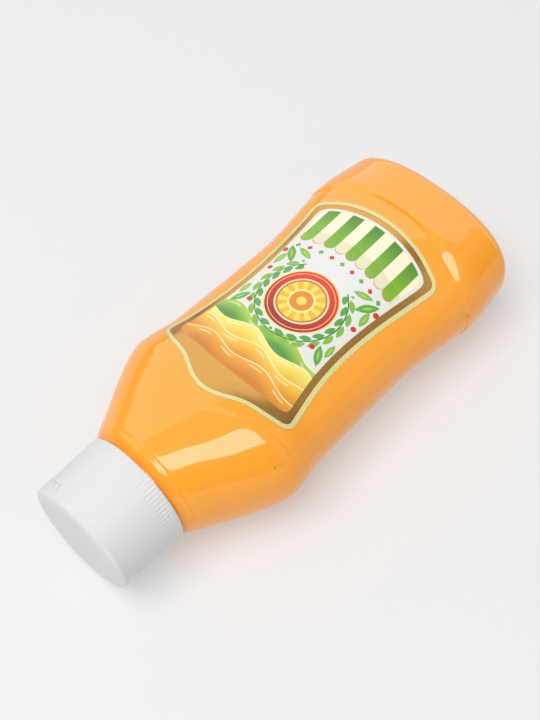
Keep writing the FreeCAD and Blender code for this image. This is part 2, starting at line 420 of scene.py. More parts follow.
def sunkAt(station, across):
    roll, ease = bottle["shoulderRoll"], bottle["shoulderEase"]
    fromShoulder = station - (bottle["edgeAtShoulder"] - shoulderLobe(across))
    fall = easedRamp(fromShoulder + roll, roll + ease, roll, ease)
    fromFoot = station - (bottle["edgeAtFoot"] + footArch(across))
    width = footStepWidth(across)
    rise = easedRamp(fromFoot, width, bottle["footStepEase"], bottle["footStepRound"] * width)
    return sunkDepth(station) * (1 - besideShare(station, across)) * fall * (1 - rise)


def neckCrease(station):
    middle, half, depth = bottle["neckCrease"]
    share = min(abs(station - middle) / half, 1.0)
    return depth * (1 - share) ** 2 * (1 + 2 * share)


def footRow(angle):
    # station, and how much the rounding of the foot takes off, at an angle round its edge
    rounding = bottle["footRounding"]
    return bottle["length"] - rounding * (1 - math.sin(angle)), rounding * (1 - math.cos(angle))


def ovalPoint(angle, fullness):
    across, up = math.cos(angle), math.sin(angle)
    return (math.copysign(abs(across) ** (2 / fullness), across),
            math.copysign(abs(up) ** (2 / fullness), up))


def bottleRows():
    # Each row is (kind, station, size). Neck rows are round, with size a share of the radius. Skin rows
    # follow the sections, less their size. End rows close the foot, with size a share again.
    rows = [("neck", bottle["neckStations"][0], 0.0)]
    rows += [("neck", station, 1.0) for station in bottle["neckStations"]]
    for start, stop, spacing in bottle["rows"]:
        steps = max(1, round((stop - start) / spacing))
        rows += [("skin", start + (stop - start) * i / steps, 0.0) for i in range(steps)]
    for i in range(bottle["footRings"] + 1):
        station, less = footRow(math.pi / 2 * i / bottle["footRings"])
        rows.append(("skin", station, less))
    rows += [("end", bottle["length"], share) for share in bottle["endRings"]]
    return rows


def warped(station, across):
    # rows near the edges of the label field run along those edges
    foot = footArch(across) * hill(station, *bottle["bendToFoot"])
    shoulder = shoulderLobe(across) * hill(station, *bottle["bendToShoulder"])
    return station + foot - shoulder


def bottlePoint(row, angle):
    kind, station, size = row
    if kind == "neck":
        radius = bottle["neckRadius"] * size
        return place(station, radius * math.cos(angle), radius * math.sin(angle))
    if kind == "end":
        less = bottle["footRounding"]
        across, up = ovalPoint(angle, fullnessAt(station))
        hollow = bottle["dish"] * smoothStep((bottle["dishRim"] - size) / bottle["dishEase"])
        return place(station - hollow, (halfWidthAt(station) - less) * across * size,
                     (halfDepthAt(station) - less) * up * size)
    across, up = ovalPoint(angle, fullnessAt(station))
    station = warped(station, halfWidthAt(station) * across)
    across, up = ovalPoint(angle, fullnessAt(station))
    width = halfWidthAt(station)
    less = size + sunkAt(station, width * across) + neckCrease(station)
    return place(station, (width - less) * across, (halfDepthAt(station) - less) * up)


def ringTube(rows, segments, pointAt):
    # A tube grown ring by ring from one circle, then shaped by pointAt(row, angle).
    bm = bmesh.new()
    bmesh.ops.create_circle(bm, cap_ends=False, radius=1.0, segments=segments)
    ring = list(bm.edges)
    for i in range(1, len(rows)):
        grown = bmesh.ops.extrude_edge_only(bm, edges=ring)["geom"]
        ring = [item for item in grown if isinstance(item, bmesh.types.BMEdge)]
        moved = [item for item in grown if isinstance(item, bmesh.types.BMVert)]
        bmesh.ops.translate(bm, verts=moved, vec=(0, 0, 1))
        ring = [edge for edge in ring if all(abs(vert.co.z - i) < 0.1 for vert in edge.verts)]
    for vert in bm.verts:
        vert.co = pointAt(rows[round(vert.co.z)], math.atan2(vert.co.y, vert.co.x))
    return bm


def bottleFinish():
    finish = Finish("orange_plastic")
    spot = finish.spot()
    station, across, up = finish.places()

    def distanceTo(centre):
        first, second, third = station - centre[0], across - centre[1], up - centre[2]
        return (first * first + second * second + third * third).root()

    cloud = finish.noise(spot, 25.0, 3.0)
    ripple = finish.noise(spot, 60.0, 1.0)
    grain = finish.noise(spot, 330.0)
    base = finish.mix(cloud, *bottle["colours"])
    for speck in bottle["specks"]:
        base = finish.paint(base, distanceTo(speck) - bottle["speckRadius"], bottle["speckColour"], 0.3)
    shade = (1 - station.between(*bottle["underCap"])) * 0.5
    base = finish.mix(shade, base, bottle["underCapColour"])
    fromMark = distanceTo(bottle["gateMark"]) - bottle["gateMarkRadius"]
    base = finish.paint(base, fromMark, bottle["gateMarkColour"], 0.8)
    seam = 1 - abs(up).between(0.0, bottle["seamHalfWidth"])
    mark = 1 - fromMark.between(-0.5, 0.5)
    heights = bottle["heights"]
    height = ripple * heights["ripple"] + grain * heights["grain"] + seam * heights["seam"]
    height = height + mark * heights["gateMark"]
    finish.surface(base_color=base, roughness=0.045 + 0.03 * grain, normal=finish.bump(height))
    return finish.material


def makeBottle(finish):
    bm = ringTube(bottleRows(), bottle["segments"], bottlePoint)
    for vert in bm.verts:
        vert.co.z = max(vert.co.z, 0.0)  # it rests on small flats
    return finished(bm, "bottle_body", finish, "bottle")


# Labels.
frontLabel = {
    # half of the outline, station and distance from the middle, from the shoulder to the foot
    "bottomEdge": [(66.8, 0.0), (69.0, 8.5), (72.9, 16.0), (75.5, 25.0), (77.6, 30.8)],
    "bottomCorner": (79.4, 32.7),
    "side": [(82.6, 33.2), (100.0, 29.5), (118.0, 28.2), (140.0, 29.4), (162.4, 32.4)],
    "topCorner": (165.5, 31.4),
    "topEdge": [(167.2, 29.2), (170.4, 20.0), (172.4, 10.0), (173.1, 0.0)],
    "lift": 0.16,  # how proud of the bottle
    "sink": 0.12,  # and how deep in it
    "cells": (66, 108),
    # edge
    # painted shade: a darker line along the label's edge, standing in for the shade where the film stands
    # proud of the bottle
    "edgeShadeLine": (0.16, rgb(176, 148, 80)),  # width, colour
    "creamLine": 1.85,
    "cream": rgb(222, 211, 146),
    "creamOutline": (0.1, rgb(158, 122, 58)),  # half width, colour
    "goldBand": 4.2,  # its inner side, from the edge
    "gold": (0.46, 0.252, 0.068, 1),
    # white field, with round corners and its own low edge
    "fieldBottom": 79.6,
    "fieldSag": 0.0034,
    "fieldRounding": 5.5,
    "fieldFade": 5.0,
    "fieldColours": (rgb(232, 228, 216), rgb(228, 229, 227)),  # at its edge, inside
    # waves of sauce colour: height, swing, start, colour at the crest and below it
    "waves": [(104.2, 2.0, 3.6, rgb(168, 204, 84), rgb(72, 146, 52)),
              (98.6, 1.7, 0.6, rgb(246, 230, 120), rgb(232, 196, 66)),
              (93.4, 1.6, 2.4, rgb(246, 200, 74), rgb(226, 148, 38)),
              (87.4, 1.4, 4.1, rgb(238, 166, 46), rgb(208, 124, 24))],
    "wavePitch": 0.235,
    "waveFade": (-6.5, -0.5),
    "foam": (0.45, rgb(250, 240, 196)),  # width of the pale line on each crest, colour
    "glint": (1.5, 0.3, rgb(255, 246, 206)),  # how far under the crest, half width, colour
    "glintPitch": 0.47,
    # wreath of leaves, open at the top
    "centre": 121.5,  # station of its centre
    "wreath": 18.2,  # its radius
    "wreathOpening": 12.5,
    "leafPitch": 5.6,
    "leafSize": (2.7, 1.15),  # half length, half width
    "leafRows": [(-1.35, 0.0, -12.0, rgb(86, 160, 60)),  # offset, shift, lean in degrees, colour
                 (1.45, 0.5, 12.0, rgb(128, 184, 62))],
    "stem": (0.28, rgb(70, 126, 48)),  # half width, colour
    # ruby plate with a sun on it, as rings: radius, colour
    "plateEdge": (15.0, rgb(246, 214, 140)),
    "plate": 14.4,
    "plateFade": (-13.0, 12.0),
    "plateColours": (rgb(150, 20, 18), rgb(224, 52, 34)),
    "plateLine": (13.2, 0.18, rgb(246, 190, 110)),  # radius, half width, colour
    "sunRings": [(10.8, rgb(250, 226, 178)), (10.1, rgb(196, 122, 40)), (9.3, rgb(240, 216, 84))],
    "rays": (12.0, rgb(232, 182, 58)),  # how many, colour
    "sunHeart": [(5.6, rgb(250, 232, 150)), (4.7, rgb(222, 138, 38)), (2.0, rgb(246, 214, 96))],
    # sprigs: station, distance from the middle, half length, half width, turn, colour
    "sprigs": [(137.2, 20.0, 5.0, 1.7, 38.0, rgb(96, 168, 58)),
               (133.0, 22.2, 3.8, 1.4, -8.0, rgb(132, 188, 66)),
               (140.2, 15.4, 4.2, 1.4, 72.0, rgb(132, 188, 66)),
               (108.6, 20.6, 4.4, 1.6, -30.0, rgb(96, 168, 58)),
               (113.2, 22.4, 3.4, 1.2, -4.0, rgb(132, 188, 66))],
    "sprigVein": (0.78, rgb(176, 212, 110)),  # share of the width outside it, colour
    # berries: station, distance from the middle, radius
    "berries": [(126.9, 22.1, 1.1), (137.8, 24.0, 1.2), (109.6, 16.6, 1.1)],
    "berryColour": rgb(206, 44, 30),
    # striped awning with a scalloped hem and a row of lozenges under it
    "awning": 151.0,  # station of its hem
    "awningSag": 0.006,
    "awningGap": 1.3,  # left free inside the field's edge
    "stripe": 5.3,
    "clothPale": rgb(250, 240, 206),
    "clothGreens": (rgb(142, 194, 52), rgb(44, 116, 34)),
    "clothFade": (147.0, 170.0),
    "valance": (3.6, rgb(60, 90, 30)),  # height, shade over it
    "hem": (0.35, rgb(196, 122, 40)),  # width of its line, colour
    "lozenges": 145.0,
    "lozengeSize": 1.2,
    "lozengeGap": 1.6,
    "lozengeColours": (rgb(214, 48, 32), rgb(96, 168, 58)),
    "grainColour": rgb(120, 110, 90),
}
backLabel = {
    "bottomEdge": [(86.0, 0.0), (86.0, 11.0), (86.0, 22.0)],
    "bottomCorner": (87.46, 25.54),
    "side": [(91.0, 27.0), (124.5, 27.0), (158.0, 27.0)],
    "topCorner": (161.54, 25.54),
    "topEdge": [(163.0, 22.0), (163.0, 11.0), (163.0, 0.0)],
    "lift": 0.16,
    "sink": 0.12,
    "cells": (54, 78),
    "creamLine": 1.6,
    "cream": rgb(232, 222, 155),
    "goldBand": 2.4,
    "gold": rgb(205, 158, 98),
    "ground": rgb(232, 231, 226),
    # wavy bands: station of the edge, swing, start, which side of it is coloured, colour
    "bands": [(151.0, 1.2, 0.0, -1, rgb(120, 176, 60)),
              (97.5, 1.2, math.pi / 2, 1, rgb(232, 178, 66)),
              (93.5, 1.1, 2.0, 1, rgb(206, 66, 40))],
    "bandPitch": 0.3,
    "panels": (108.0, 123.0, 138.0),
    "panelSize": (5.4, 18.4),  # half height, half width
    "panelLine": (0.35, rgb(176, 172, 160)),  # width, colour
}


def lengthsAlong(points):
    along = [0.0]
    for first, second in zip(points, points[1:]):
        along.append(along[-1] + (second - first).length)
    return along


def curveThrough(points, steps=40):
    # a smooth run through flat points, both ends included
    points = [Vector(point) for point in points]
    along = lengthsAlong(points)
    curves = [smoothCurve(along, [point[i] for point in points]) for i in (0, 1)]
    total = along[-1]
    count = steps * (len(points) - 1)
    return [Vector([curve(total * i / count) for curve in curves]) for i in range(count + 1)]


def arcThrough(start, through, stop, steps=24):
    # a round corner through three flat points
    a, b, c = Vector(start), Vector(through), Vector(stop)
    d = 2 * (a.x * (b.y - c.y) + b.x * (c.y - a.y) + c.x * (a.y - b.y))
    squares = (a.length_squared, b.length_squared, c.length_squared)
    centre = Vector((
        (squares[0] * (b.y - c.y) + squares[1] * (c.y - a.y) + squares[2] * (a.y - b.y)) / d,
        (squares[0] * (c.x - b.x) + squares[1] * (a.x - c.x) + squares[2] * (b.x - a.x)) / d))
    sweep = (a - centre).angle_signed(c - centre)
    arc = []
    for i in range(steps + 1):
        turned = a - centre
        turned.rotate(Matrix.Rotation(-sweep * i / steps, 2))
        arc.append(centre + turned)
    return arc


def labelSides(label):
    # the outline as four runs that meet in the middle of the corners: bottom, side, top, other side
    def mirrored(points):
        return [(s, -y) for s, y in reversed(points)]

    def flip(points):
        return [Vector((p.x, -p.y)) for p in reversed(points)]

    bottom = curveThrough(mirrored(label["bottomEdge"])[:-1] + label["bottomEdge"])
    top = curveThrough(label["topEdge"] + mirrored(label["topEdge"])[1:])
    side = curveThrough(label["side"])
    low = arcThrough(label["bottomEdge"][-1], label["bottomCorner"], label["side"][0])
    high = arcThrough(label["side"][-1], label["topCorner"], label["topEdge"][0])
    half = len(low) // 2
    bottomRun = flip(low[:half + 1]) + bottom[1:-1] + low[:half + 1]
    rightRun = low[half:] + side[1:-1] + high[:half + 1]
    topRun = high[half:] + top[1:-1] + flip(high[half:])
    return bottomRun, rightRun, topRun, flip(rightRun)


def evenly(points, count):
    # the same run with its points evenly spaced
    along = lengthsAlong(points)
    wanted = np.linspace(0, along[-1], count + 1)
    first, second = (np.interp(wanted, along, [point[i] for point in points]) for i in (0, 1))
    return [Vector(pair) for pair in zip(first, second)]


def finderFor(points):
    tree = KDTree(len(points))
    for i, point in enumerate(points):
        tree.insert((point.x, point.y, 0.0), i)
    tree.balance()
    return tree


def fieldHeight(station, across, lift):
    # height of the label field above the long axis
    sunk = sunkDepth(station)
    outer = across * halfWidthAt(station) / (halfWidthAt(station) - sunk)
    less = sunk * (1 - besideShare(station, outer)) - lift
    a, b, n = halfWidthAt(station) - less, halfDepthAt(station) - less, fullnessAt(station)
    return b * (1 - min(1.0, abs(across / a)) ** n) ** (1 / n)


def makeLabel(name, label, side, finish, node):
    columns, rows = label["cells"]
    bottomRun, rightRun, topRun, leftRun = labelSides(label)
    finders = {
        "edgeDistance": finderFor(bottomRun + rightRun + topRun + leftRun),
        "sideDistance": finderFor(rightRun + leftRun),
        "topDistance": finderFor(topRun),
    }
    low = evenly(bottomRun, columns)
    high = list(reversed(evenly(topRun, columns)))
    right = evenly(rightRun, rows)
    left = list(reversed(evenly(leftRun, rows)))
    bm = bmesh.new()
    bmesh.ops.create_grid(bm, x_segments=columns, y_segments=rows, size=1.0)
    layers = [(bm.verts.layers.float.new(key), tree) for key, tree in finders.items()]
    for vert in bm.verts:
        i, j = round((vert.co.x + 1) / 2 * columns), round((vert.co.y + 1) / 2 * rows)
        s, t = i / columns, j / rows
        lowCorners, highCorners = low[0] * (1 - s) + low[-1] * s, high[0] * (1 - s) + high[-1] * s
        corners = lowCorners * (1 - t) + highCorners * t
        flat = low[i] * (1 - t) + high[i] * t + left[j] * (1 - s) + right[j] * s - corners
        for layer, tree in layers:
            vert[layer] = tree.find((flat.x, flat.y, 0.0))[2]
        vert.co = (flat.x, flat.y, 0.0)
    top = list(bm.verts)
    grown = bmesh.ops.extrude_face_region(bm, geom=list(bm.faces))["geom"]
    under = [item for item in grown if isinstance(item, bmesh.types.BMVert)]
    for verts, lift in ((top, label["lift"]), (under, -label["sink"])):
        for vert in verts:
            station, across = vert.co.x, vert.co.y
            vert.co = place(station, across, side * fieldHeight(station, across, lift))
    return finished(bm, name, finish, node, sharpAngle=40)


def leaf(along, sideways, centre, size, degrees):
    # below zero inside a pointed leaf, in mm; its size is its half length and half width
    cos, sin = math.cos(math.radians(degrees)), math.sin(math.radians(degrees))
    first, second = along - centre[0], sideways - centre[1]
    reach, offset = first * cos + second * sin, abs(second * cos - first * sin)
    length, width = size
    return offset - width + reach * reach * (width / length ** 2)


def backLabelFinish():
    finish = Finish("back_label_film")
    label = backLabel
    spot = finish.spot()
    station, across, _ = finish.places()
    grain = finish.noise(spot, 300.0)
    edge = finish.attribute("edgeDistance")
    base = label["ground"]
    for height, swing, start, side, colour in label["bands"]:
        wavy = (across * label["bandPitch"] + start).sin() * swing + height
        base = finish.paint(base, (station - wavy) * side, colour)
    halfHeight, halfWidth = label["panelSize"]
    thickness, colour = label["panelLine"]
    for middle in label["panels"]:
        panel = (abs(station - middle) - halfHeight).most(abs(across) - halfWidth)
        base = finish.mix(panel.inside() * (1 - (panel + thickness).inside()), base, colour)
    base = finish.paint(base, edge - label["goldBand"], label["gold"])
    base = finish.paint(base, edge - label["creamLine"], label["cream"])
    finish.surface(base_color=base, roughness=0.24 + 0.08 * grain, normal=finish.bump(grain * 0.004))
    return finish.material


def paintWaves(finish, base, station, across):
    foam, foamColour = frontLabel["foam"]
    under, halfWidth, glintColour = frontLabel["glint"]
    for height, swing, start, light, deep in frontLabel["waves"]:
        crest = station - height - (across * frontLabel["wavePitch"] + start).sin() * swing
        base = finish.paint(base, crest - foam, foamColour)
        base = finish.paint(base, crest, finish.mix(crest.between(*frontLabel["waveFade"]), deep, light))
        gaps = 0.25 - (across * frontLabel["glintPitch"] + start).cos()
        glint = (abs(crest + under) - halfWidth).most(gaps)
        base = finish.mix(glint.inside(0.3) * 0.55, base, glintColour)
    return base


def paintSun(finish, base, station, across):
    # the wreath and, inside it, the plate and the sun
    label = frontLabel
    rise = station - label["centre"]
    reach = (rise * rise + across * across).root()
    turn = finish.add("ShaderNodeMath", {"operation": "ARCTAN2"}, {0: abs(across), 1: rise})
    around = turn * label["wreath"]
    fromStem = reach - label["wreath"]
    opening = label["wreathOpening"] - around
    pitch = label["leafPitch"]
    for offset, shift, lean, colour in label["leafRows"]:
        local = ((around / pitch + shift).fraction() - 0.5) * pitch
        blade = leaf(local, fromStem, (0.0, offset), label["leafSize"], lean)
        base = finish.paint(base, blade.most(opening), colour)
    halfWidth, colour = label["stem"]
    base = finish.paint(base, (abs(fromStem) - halfWidth).most(opening - 1.0), colour)

    def paintRings(base, rings):
        for radius, colour in rings:
            base = finish.paint(base, reach - radius, colour)
        return base

    base = paintRings(base, [label["plateEdge"]])
    ruby = finish.mix(rise.between(*label["plateFade"]), *label["plateColours"])
    base = finish.paint(base, reach - label["plate"], ruby)
    radius, halfWidth, colour = label["plateLine"]
    base = finish.paint(base, abs(reach - radius) - halfWidth, colour)
    base = paintRings(base, label["sunRings"])
    rays, colour = label["rays"]
    shape = (reach - label["sunRings"][-1][0]).most((turn * rays).cos() * reach * 0.09)
    base = finish.paint(base, shape, colour)
    return paintRings(base, label["sunHeart"])


def paintSprigs(finish, base, station, across):
    sideways = abs(across)
    vein, veinColour = frontLabel["sprigVein"]
    for height, far, length, width, degrees, colour in frontLabel["sprigs"]:
        blade = leaf(station, sideways, (height, far), (length, width), degrees)
        base = finish.paint(base, blade, colour)
        base = finish.paint(base, blade + width * vein, veinColour, 0.3)
    for height, far, radius in frontLabel["berries"]:
        rise, run = station - height, sideways - far
        base = finish.paint(base, (rise * rise + run * run).root() - radius, frontLabel["berryColour"])
    return base


def paintAwning(finish, base, station, across, field):
    label = frontLabel
    width = label["stripe"]
    local = ((across / width + 0.5).fraction() - 0.5) * width
    sag = across * across * label["awningSag"]
    scallop = label["awning"] - sag - (width * width / 4 - local * local).root() - station
    stripes = (across * (math.pi / width)).cos() * (-width / math.pi)
    green = finish.mix(station.between(*label["clothFade"]), *label["clothGreens"])
    cloth = finish.paint(label["clothPale"], stripes, green)
    height, colour = label["valance"]
    valance = station + sag - label["awning"] - height
    cloth = finish.mix(valance.inside(0.3) * 0.16, cloth, colour)
    gap = label["awningGap"] - field
    line, colour = label["hem"]
    base = finish.paint(base, (scallop - line).most(gap), colour)
    base = finish.paint(base, scallop.most(gap), cloth)
    lozenge = abs(local) + abs(station - label["lozenges"] + sag) - label["lozengeSize"]
    tint = finish.mix(stripes.inside(), *label["lozengeColours"])
    return finish.paint(base, lozenge.most(label["lozengeGap"] - field), tint)


def frontLabelFinish():
    finish = Finish("front_label_film")
    label = frontLabel
    spot = finish.spot()
    station, across, _ = finish.places()
    ripple = finish.noise(spot, 70.0, 1.0)
    fine = finish.noise(spot, 300.0)
    grain = finish.noise(spot, 5200.0, 1.0)
    edge = finish.attribute("edgeDistance")
    fromSide = finish.attribute("sideDistance")
    fromTop = finish.attribute("topDistance")

    # how far inside the white field, in mm
    soft = label["fieldRounding"]
    inner = fromSide.least(fromTop, soft) - label["goldBand"]
    bottom = across * across * label["fieldSag"] + label["fieldBottom"]
    field = inner.least(station - bottom, soft)
    base = finish.mix(field.between(0.0, label["fieldFade"]), *label["fieldColours"])
    base = paintWaves(finish, base, station, across)
    base = paintSun(finish, base, station, across)
    base = paintSprigs(finish, base, station, across)
    base = paintAwning(finish, base, station, across, field)
    base = finish.mix(grain.between(0.35, 0.65) * 0.05, base, label["grainColour"])

    # gold foil outside the field, then the cream line and a painted shade line along the edge
    printed = (-field).inside()
    base = finish.mix(printed, label["gold"], base)
    cream = (edge - label["creamLine"]).inside()
    base = finish.mix(cream, base, label["cream"])
    halfWidth, colour = label["creamOutline"]
    base = finish.paint(base, abs(edge - label["creamLine"]) - halfWidth, colour)
    # painted shade: a darker line along the label's edge, where the film stands proud of the bottle
    width, colour = label["edgeShadeLine"]
    base = finish.paint(base, edge - width, colour)
    finish.surface(base_color=base, roughness=0.20 + 0.06 * fine, metallic=(1 - printed) * (1 - cream),
                   normal=finish.bump(ripple * 0.02 + fine * 0.002))
    return finish.material


# Cap and lid.
cap = {
    "segments": 720,  # round the cap
    "wallRadius": 24.1,
    "rimRadius": 24.5,
    "rim": 30.5,  # station of its edge on the bottle's side
    "taperStart": 12.0,
    "parting": 2.4,  # where the lid meets it
    "smallRounding": 0.09,
    "rimRounding": 0.35,
    "boreRadius": 23.5,
    "boreDepth": 1.9,
    "boreRounding": 0.15,
    "ribs": 90,
    "ribBand": 7.8,
    "ribFade": 2.6,
    "ribDepth": 0.16,
    "turn": -25.0,  # the thumb tab, turned from the bottle's side, degrees
    "notchStart": 9.5,
    "notchRollEnd": 5.5,
    "notchRadius": 21.85,
    "notchWall": 24.0,
    "notchSoft": 0.22,
    "bayRadius": 22.3,
    "bayEnd": 6.86,
    "bayHalfAngle": 36.2,
    "slotAngle": 28.5,
    "slotWidth": 0.8,
    "slotRange": (4.5, 9.4),
    "slotDepth": 0.5,
    "colours": ((0.703, 0.722, 0.718, 1), (0.727, 0.746, 0.740, 1)),
}
lid = {
    "dome": 0.3,
    "rounding": 2.0,
    "roundingPower": 11.0,
    "roundingRings": 18,
    "tabEnd": 4.55,
    "tabHalfWidth": 9.6,
    "tabEase": 1.2,  # how far its end takes to fall away at each side
    "tabFlat": 21.9,
    "tabSoft": 0.12,
    "tabStart": 1.2,
    "tabProfile": [(1.2, 24.1), (2.4, 24.0), (3.2, 23.62), (3.9, 23.1), (4.55, 22.2)],  # station, radius
    "skirtEnd": 6.8,
    "skirtHalfAngle": 36.0,
    "skirtRadius": 22.4,
    "skirtSoft": 0.04,
    "wallDepth": 0.3,  # at least this thick away from the skirt
    # the wall's rows start this far apart, from the lid's base on, and are told apart by it
    "rowGap": 0.001,
    "wallRows": 8,
    "wallInside": 22.3,  # rows further out than this are on the wall's outside and end
    "gap": 0.01,  # between lid and cap
}
lid["base"] = cap["parting"] - lid["gap"]
tabDirection = Vector((-math.cos(math.radians(cap["turn"])), math.sin(math.radians(cap["turn"]))))
tabOutside = smoothCurve(*zip(*lid["tabProfile"]))


def aboutAxis(co):
    # (across, up) about the long axis, in mm
    return Vector((co.y, co.z - axisHeight)) / mm


def turnFrom(direction, spot):
    # degrees round the axis from a direction
    return math.degrees(math.atan2(direction.x * spot.y - direction.y * spot.x, direction.dot(spot)))


def besideSlot(hinge, radius):
    # how far a turn from the hinge's middle is beside its nearer slot, in mm
    return math.radians(abs(abs(hinge) - cap["slotAngle"])) * radius


def spunPiece(profile, segments):
    # A (station, radius) profile that starts and ends on the axis, spun into a closed solid.
    bm = bmesh.new()
    verts = [bm.verts.new(place(station, radius, 0.0)) for station, radius in profile]
    edges = [bm.edges.new(pair) for pair in zip(verts, verts[1:])]
    bmesh.ops.spin(bm, geom=verts + edges, cent=place(0, 0, 0), axis=(1, 0, 0), dvec=(0, 0, 0),
                   angle=2 * math.pi, steps=segments, use_merge=True, use_duplicate=False)
    return bm


def roundOver(start, stop, centre, steps):
    # profile points on a quarter round from start to stop about a centre
    first, last = Vector(start) - Vector(centre), Vector(stop) - Vector(centre)
    points = []
    for i in range(steps + 1):
        share = math.pi / 2 * i / steps
        spot = Vector(centre) + first * math.cos(share) + last * math.sin(share)
        points.append((spot.x, spot.y))
    return points


def softLeast(first, second, soft):
    # the lesser of the two, with a soft change from one to the other
    share = min(max(0.5 + 0.5 * (second - first) / soft, 0.0), 1.0)
    return second + (first - second) * share - soft * share * (1 - share)


def notchLimit(station):
    # how far out the cap's wall may reach at the thumb notch
    if station < cap["notchRollEnd"]:
        return cap["notchRadius"]
    run, fall = cap["notchStart"] - cap["notchRollEnd"], cap["notchWall"] - cap["notchRadius"]
    roll = (run ** 2 + fall ** 2) / (2 * fall)
    left = max(cap["notchStart"] - station, 0.0)
    return cap["notchWall"] - roll + math.sqrt(roll ** 2 - left ** 2)


def capProfile():
    wall, parting, rim, outer = cap["wallRadius"], cap["parting"], cap["rim"], cap["rimRadius"]
    profile = [(parting, radius) for radius in (0.0, 8.0, 16.0, 20.0, 21.6, 22.0)]
    small = cap["smallRounding"]
    corner = (parting + small, wall - small)
    profile += roundOver((parting, wall - small), (parting + small, wall), corner, 4)
    # close pairs of rows keep the edges of the slots, the notch and the bay crisp
    low, high = cap["slotRange"]
    roll, bay = cap["notchRollEnd"], cap["bayEnd"]
    stations = [2.8, 3.2, 3.6, 4.0, low - 0.03, low + 0.01, 5.0, roll - 0.04, roll + 0.04]
    stations += [roll + 0.04 + 0.2 * i for i in range(1, 7)]
    stations += [bay - 0.02, bay + 0.02, 7.1, 7.4, 7.8, 8.2, 8.6, 9.0, high - 0.03, high + 0.03]
    stations += [9.6, 10.2, cap["taperStart"]]
    profile += [(station, wall) for station in stations]
    taper = (outer - wall) / (rim - cap["taperStart"])
    ribStart = rim - cap["ribBand"]
    stations = [15.0, 18.0, 20.5, ribStart] + [ribStart + 0.4 * i for i in range(1, 9)] + [28.0]
    profile += [(station, wall + taper * (station - cap["taperStart"])) for station in stations]
    small = cap["rimRounding"]
    profile += roundOver((rim - small, outer), (rim, outer - small), (rim - small, outer - small), 4)
    bore, deep, small = cap["boreRadius"], rim - cap["boreDepth"], cap["boreRounding"]
    return profile + [(rim, bore + small), (rim - small, bore), (deep, bore), (deep, 12.0), (deep, 0.0)]


def shapeCap(bm):
    ribStart = cap["rim"] - cap["ribBand"]
    for vert in bm.verts:
        station, spot = stationOf(vert.co), aboutAxis(vert.co)
        radius = spot.length
        if radius < 1.0:  # the middle of an end
            continue
        if radius > cap["boreRadius"] + 0.3 and station > ribStart:
            # grooves between the ribs, fading in
            turn = math.atan2(spot.y, spot.x) * cap["ribs"]
            deep = cap["ribDepth"] * smoothStep((station - ribStart) / cap["ribFade"])
            spot *= (radius - deep * (0.5 - 0.5 * math.cos(turn))) / radius
        # the bay for the hinge and its two slots
        hinge = turnFrom(-tabDirection, spot)
        limit = radius
        if station < cap["bayEnd"] and abs(hinge) < cap["bayHalfAngle"]:
            limit = min(limit, cap["bayRadius"])
        low, high = cap["slotRange"]
        if low < station < high and besideSlot(hinge, radius) < cap["slotWidth"] / 2:
            limit = min(limit, cap["wallRadius"] - cap["slotDepth"])
        if radius > limit:
            spot *= limit / radius
        reach = spot.dot(tabDirection)
        if reach > 15.0 and station < cap["notchStart"] + 0.3:  # the thumb notch
            spot += tabDirection * (softLeast(reach, notchLimit(station), cap["notchSoft"]) - reach)
        vert.co = place(station, spot.x, spot.y)


def makeCap(finish):
    bm = spunPiece(capProfile(), cap["segments"])
    shapeCap(bm)
    return finished(bm, "cap_body", finish, "cap", sharpAngle=38)


def lidProfile():
    # The face and its rounded rim, then rows that makeLid pulls down where the tab and the skirt are.
    def domed(radius):
        return lid["dome"] * (radius / outer) ** 2

    outer, base, rowGap, rings = cap["wallRadius"], lid["base"], lid["rowGap"], lid["roundingRings"]
    profile = [(domed(radius), radius) for radius in (0.0, 4.0, 8.0, 12.0)]
    for i in range(1, rings + 1):
        lean = math.pi / 2 * i / rings
        radius = outer * math.sin(lean) ** (2 / lid["roundingPower"])
        if radius > 13.0:
            profile.append((domed(radius) + lid["rounding"] * (1 - math.cos(lean)), radius))
    last = lid["wallRows"]
    profile += [(base + i * rowGap, outer) for i in range(last + 1)]
    profile += [(base + (last + 1) * rowGap, outer - 0.1)]
    profile += [(base + (last + 2) * rowGap, lid["skirtRadius"])]
    return profile + [(base + rowGap, 22.2), (base, 21.0), (base, 9.0), (base, 0.0)]


def lidEnd(spot):
    # how far the lid's wall runs down here, its inner radius, and whether this is on the tab
    turn = turnFrom(-tabDirection, spot)
    wall, parting = cap["wallRadius"], cap["parting"]
    if abs(turn) < lid["skirtHalfAngle"]:
        slot = besideSlot(turn, wall) < cap["slotWidth"] / 2
        return (cap["slotRange"][0] if slot else lid["skirtEnd"]), lid["skirtRadius"], False
    lean = math.radians(turnFrom(tabDirection, spot))
    across = abs(math.sin(lean)) * wall
    if math.cos(lean) > 0 and across < lid["tabHalfWidth"]:
        share = smoothStep((lid["tabHalfWidth"] - across) / lid["tabEase"])
        inner = min(lid["tabFlat"] / math.cos(lean), wall - lid["wallDepth"])
        return parting + (lid["tabEnd"] - parting) * share, inner, True
    return lid["base"], wall - lid["wallDepth"], False


def lidWallPoint(row, radius, spot):
    # station and radius of a row of the lid's wall
    end, inner, onTab = lidEnd(spot)
    base, last = lid["base"], lid["wallRows"]
    soft = lid["tabSoft"] if onTab else lid["skirtSoft"]
    station = base + (end - base) * min(row, last) / last
    outside = tabOutside(min(station, lid["tabEnd"])) if onTab else cap["wallRadius"]
    if row == 1 and radius < lid["wallInside"]:  # the inside's upper edge
        return base, inner
    if row == last + 2:  # the inside's lower edge
        return end, inner
    if row == last + 1:  # the lower end, with a soft outer edge
        return end, max(outside - soft, inner)
    if row == last:
        station -= min(soft, end - base)
    return station, max(outside, inner)


